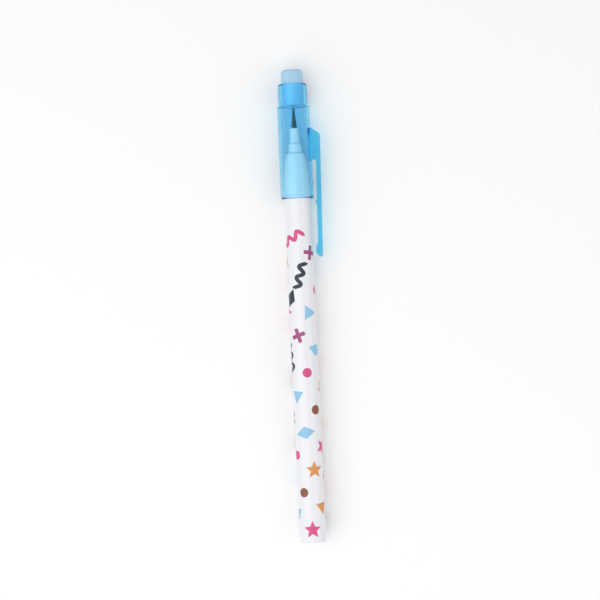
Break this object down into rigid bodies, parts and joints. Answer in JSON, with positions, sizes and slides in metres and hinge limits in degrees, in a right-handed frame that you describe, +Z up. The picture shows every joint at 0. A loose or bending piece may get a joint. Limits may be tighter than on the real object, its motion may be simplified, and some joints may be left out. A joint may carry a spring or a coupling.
{
  "type": "non-sharpening pencil",
  "caption": "Round pencil with ready-sharp lead points nested in a white barrel, a nose cone, and a clear blue pull-off cap with a springy pocket clip and an eraser.",
  "frame": {"origin": "on the surface the pencil lies on, under the middle of its bounding box", "axes": "+Y along the pencil from its open tail to its point and eraser, +X towards the pocket clip, +Z up as it lies"},
  "size_m": [0.0132, 0.1498, 0.0103],
  "materials": {
    "barrel_white": "glossy white moulded plastic with a printed pattern",
    "point_white": "satin white moulded plastic",
    "graphite": "dark grey graphite with a dull sheen",
    "clear_blue": "clear tinted blue moulded plastic, glossy",
    "eraser_blue": "matt pale blue rubber"
  },
  "bodies": {
    "barrel": {"barrel": "barrel_white", "nose_cone": "point_white"},
    "point_stack": {"point_holder_02": "point_white", "point_lead_02": "graphite", "point_holder_03": "point_white", "point_lead_03": "graphite", "point_holder_04": "point_white", "point_lead_04": "graphite", "point_holder_05": "point_white", "point_lead_05": "graphite", "point_holder_06": "point_white", "point_lead_06": "graphite", "point_holder_07": "point_white", "point_lead_07": "graphite", "point_holder_08": "point_white", "point_lead_08": "graphite", "point_holder_09": "point_white", "point_lead_09": "graphite", "point_holder_10": "point_white", "point_lead_10": "graphite", "point_holder_11": "point_white", "point_lead_11": "graphite"},
    "front_point": {"point_holder_01": "point_white", "point_lead_01": "graphite"},
    "cap": {"cap_shell": "clear_blue", "eraser": "eraser_blue"},
    "clip": {"pocket_clip": "clear_blue"}
  },
  "joints": [
    {"name": "stack_feed", "type": "slide", "parent": "barrel", "child": "point_stack", "axis": [0, 1, 0], "range_m": [0, 0.0114]},
    {"name": "front_point_pull", "type": "slide", "parent": "point_stack", "child": "front_point", "axis": [0, 1, 0], "range_m": [0, 0.025]},
    {"name": "cap_pull", "type": "slide", "parent": "front_point", "child": "cap", "axis": [0, 1, 0], "range_m": [0, 0.05]},
    {"name": "clip_flex", "type": "hinge", "parent": "cap", "child": "clip", "pos_m": [0.00571, 0.04598, 0.00517], "axis": [0, 0, 1], "range_deg": [0, 4.5], "stiffness_Nm_per_rad": 0.3}
  ]
}
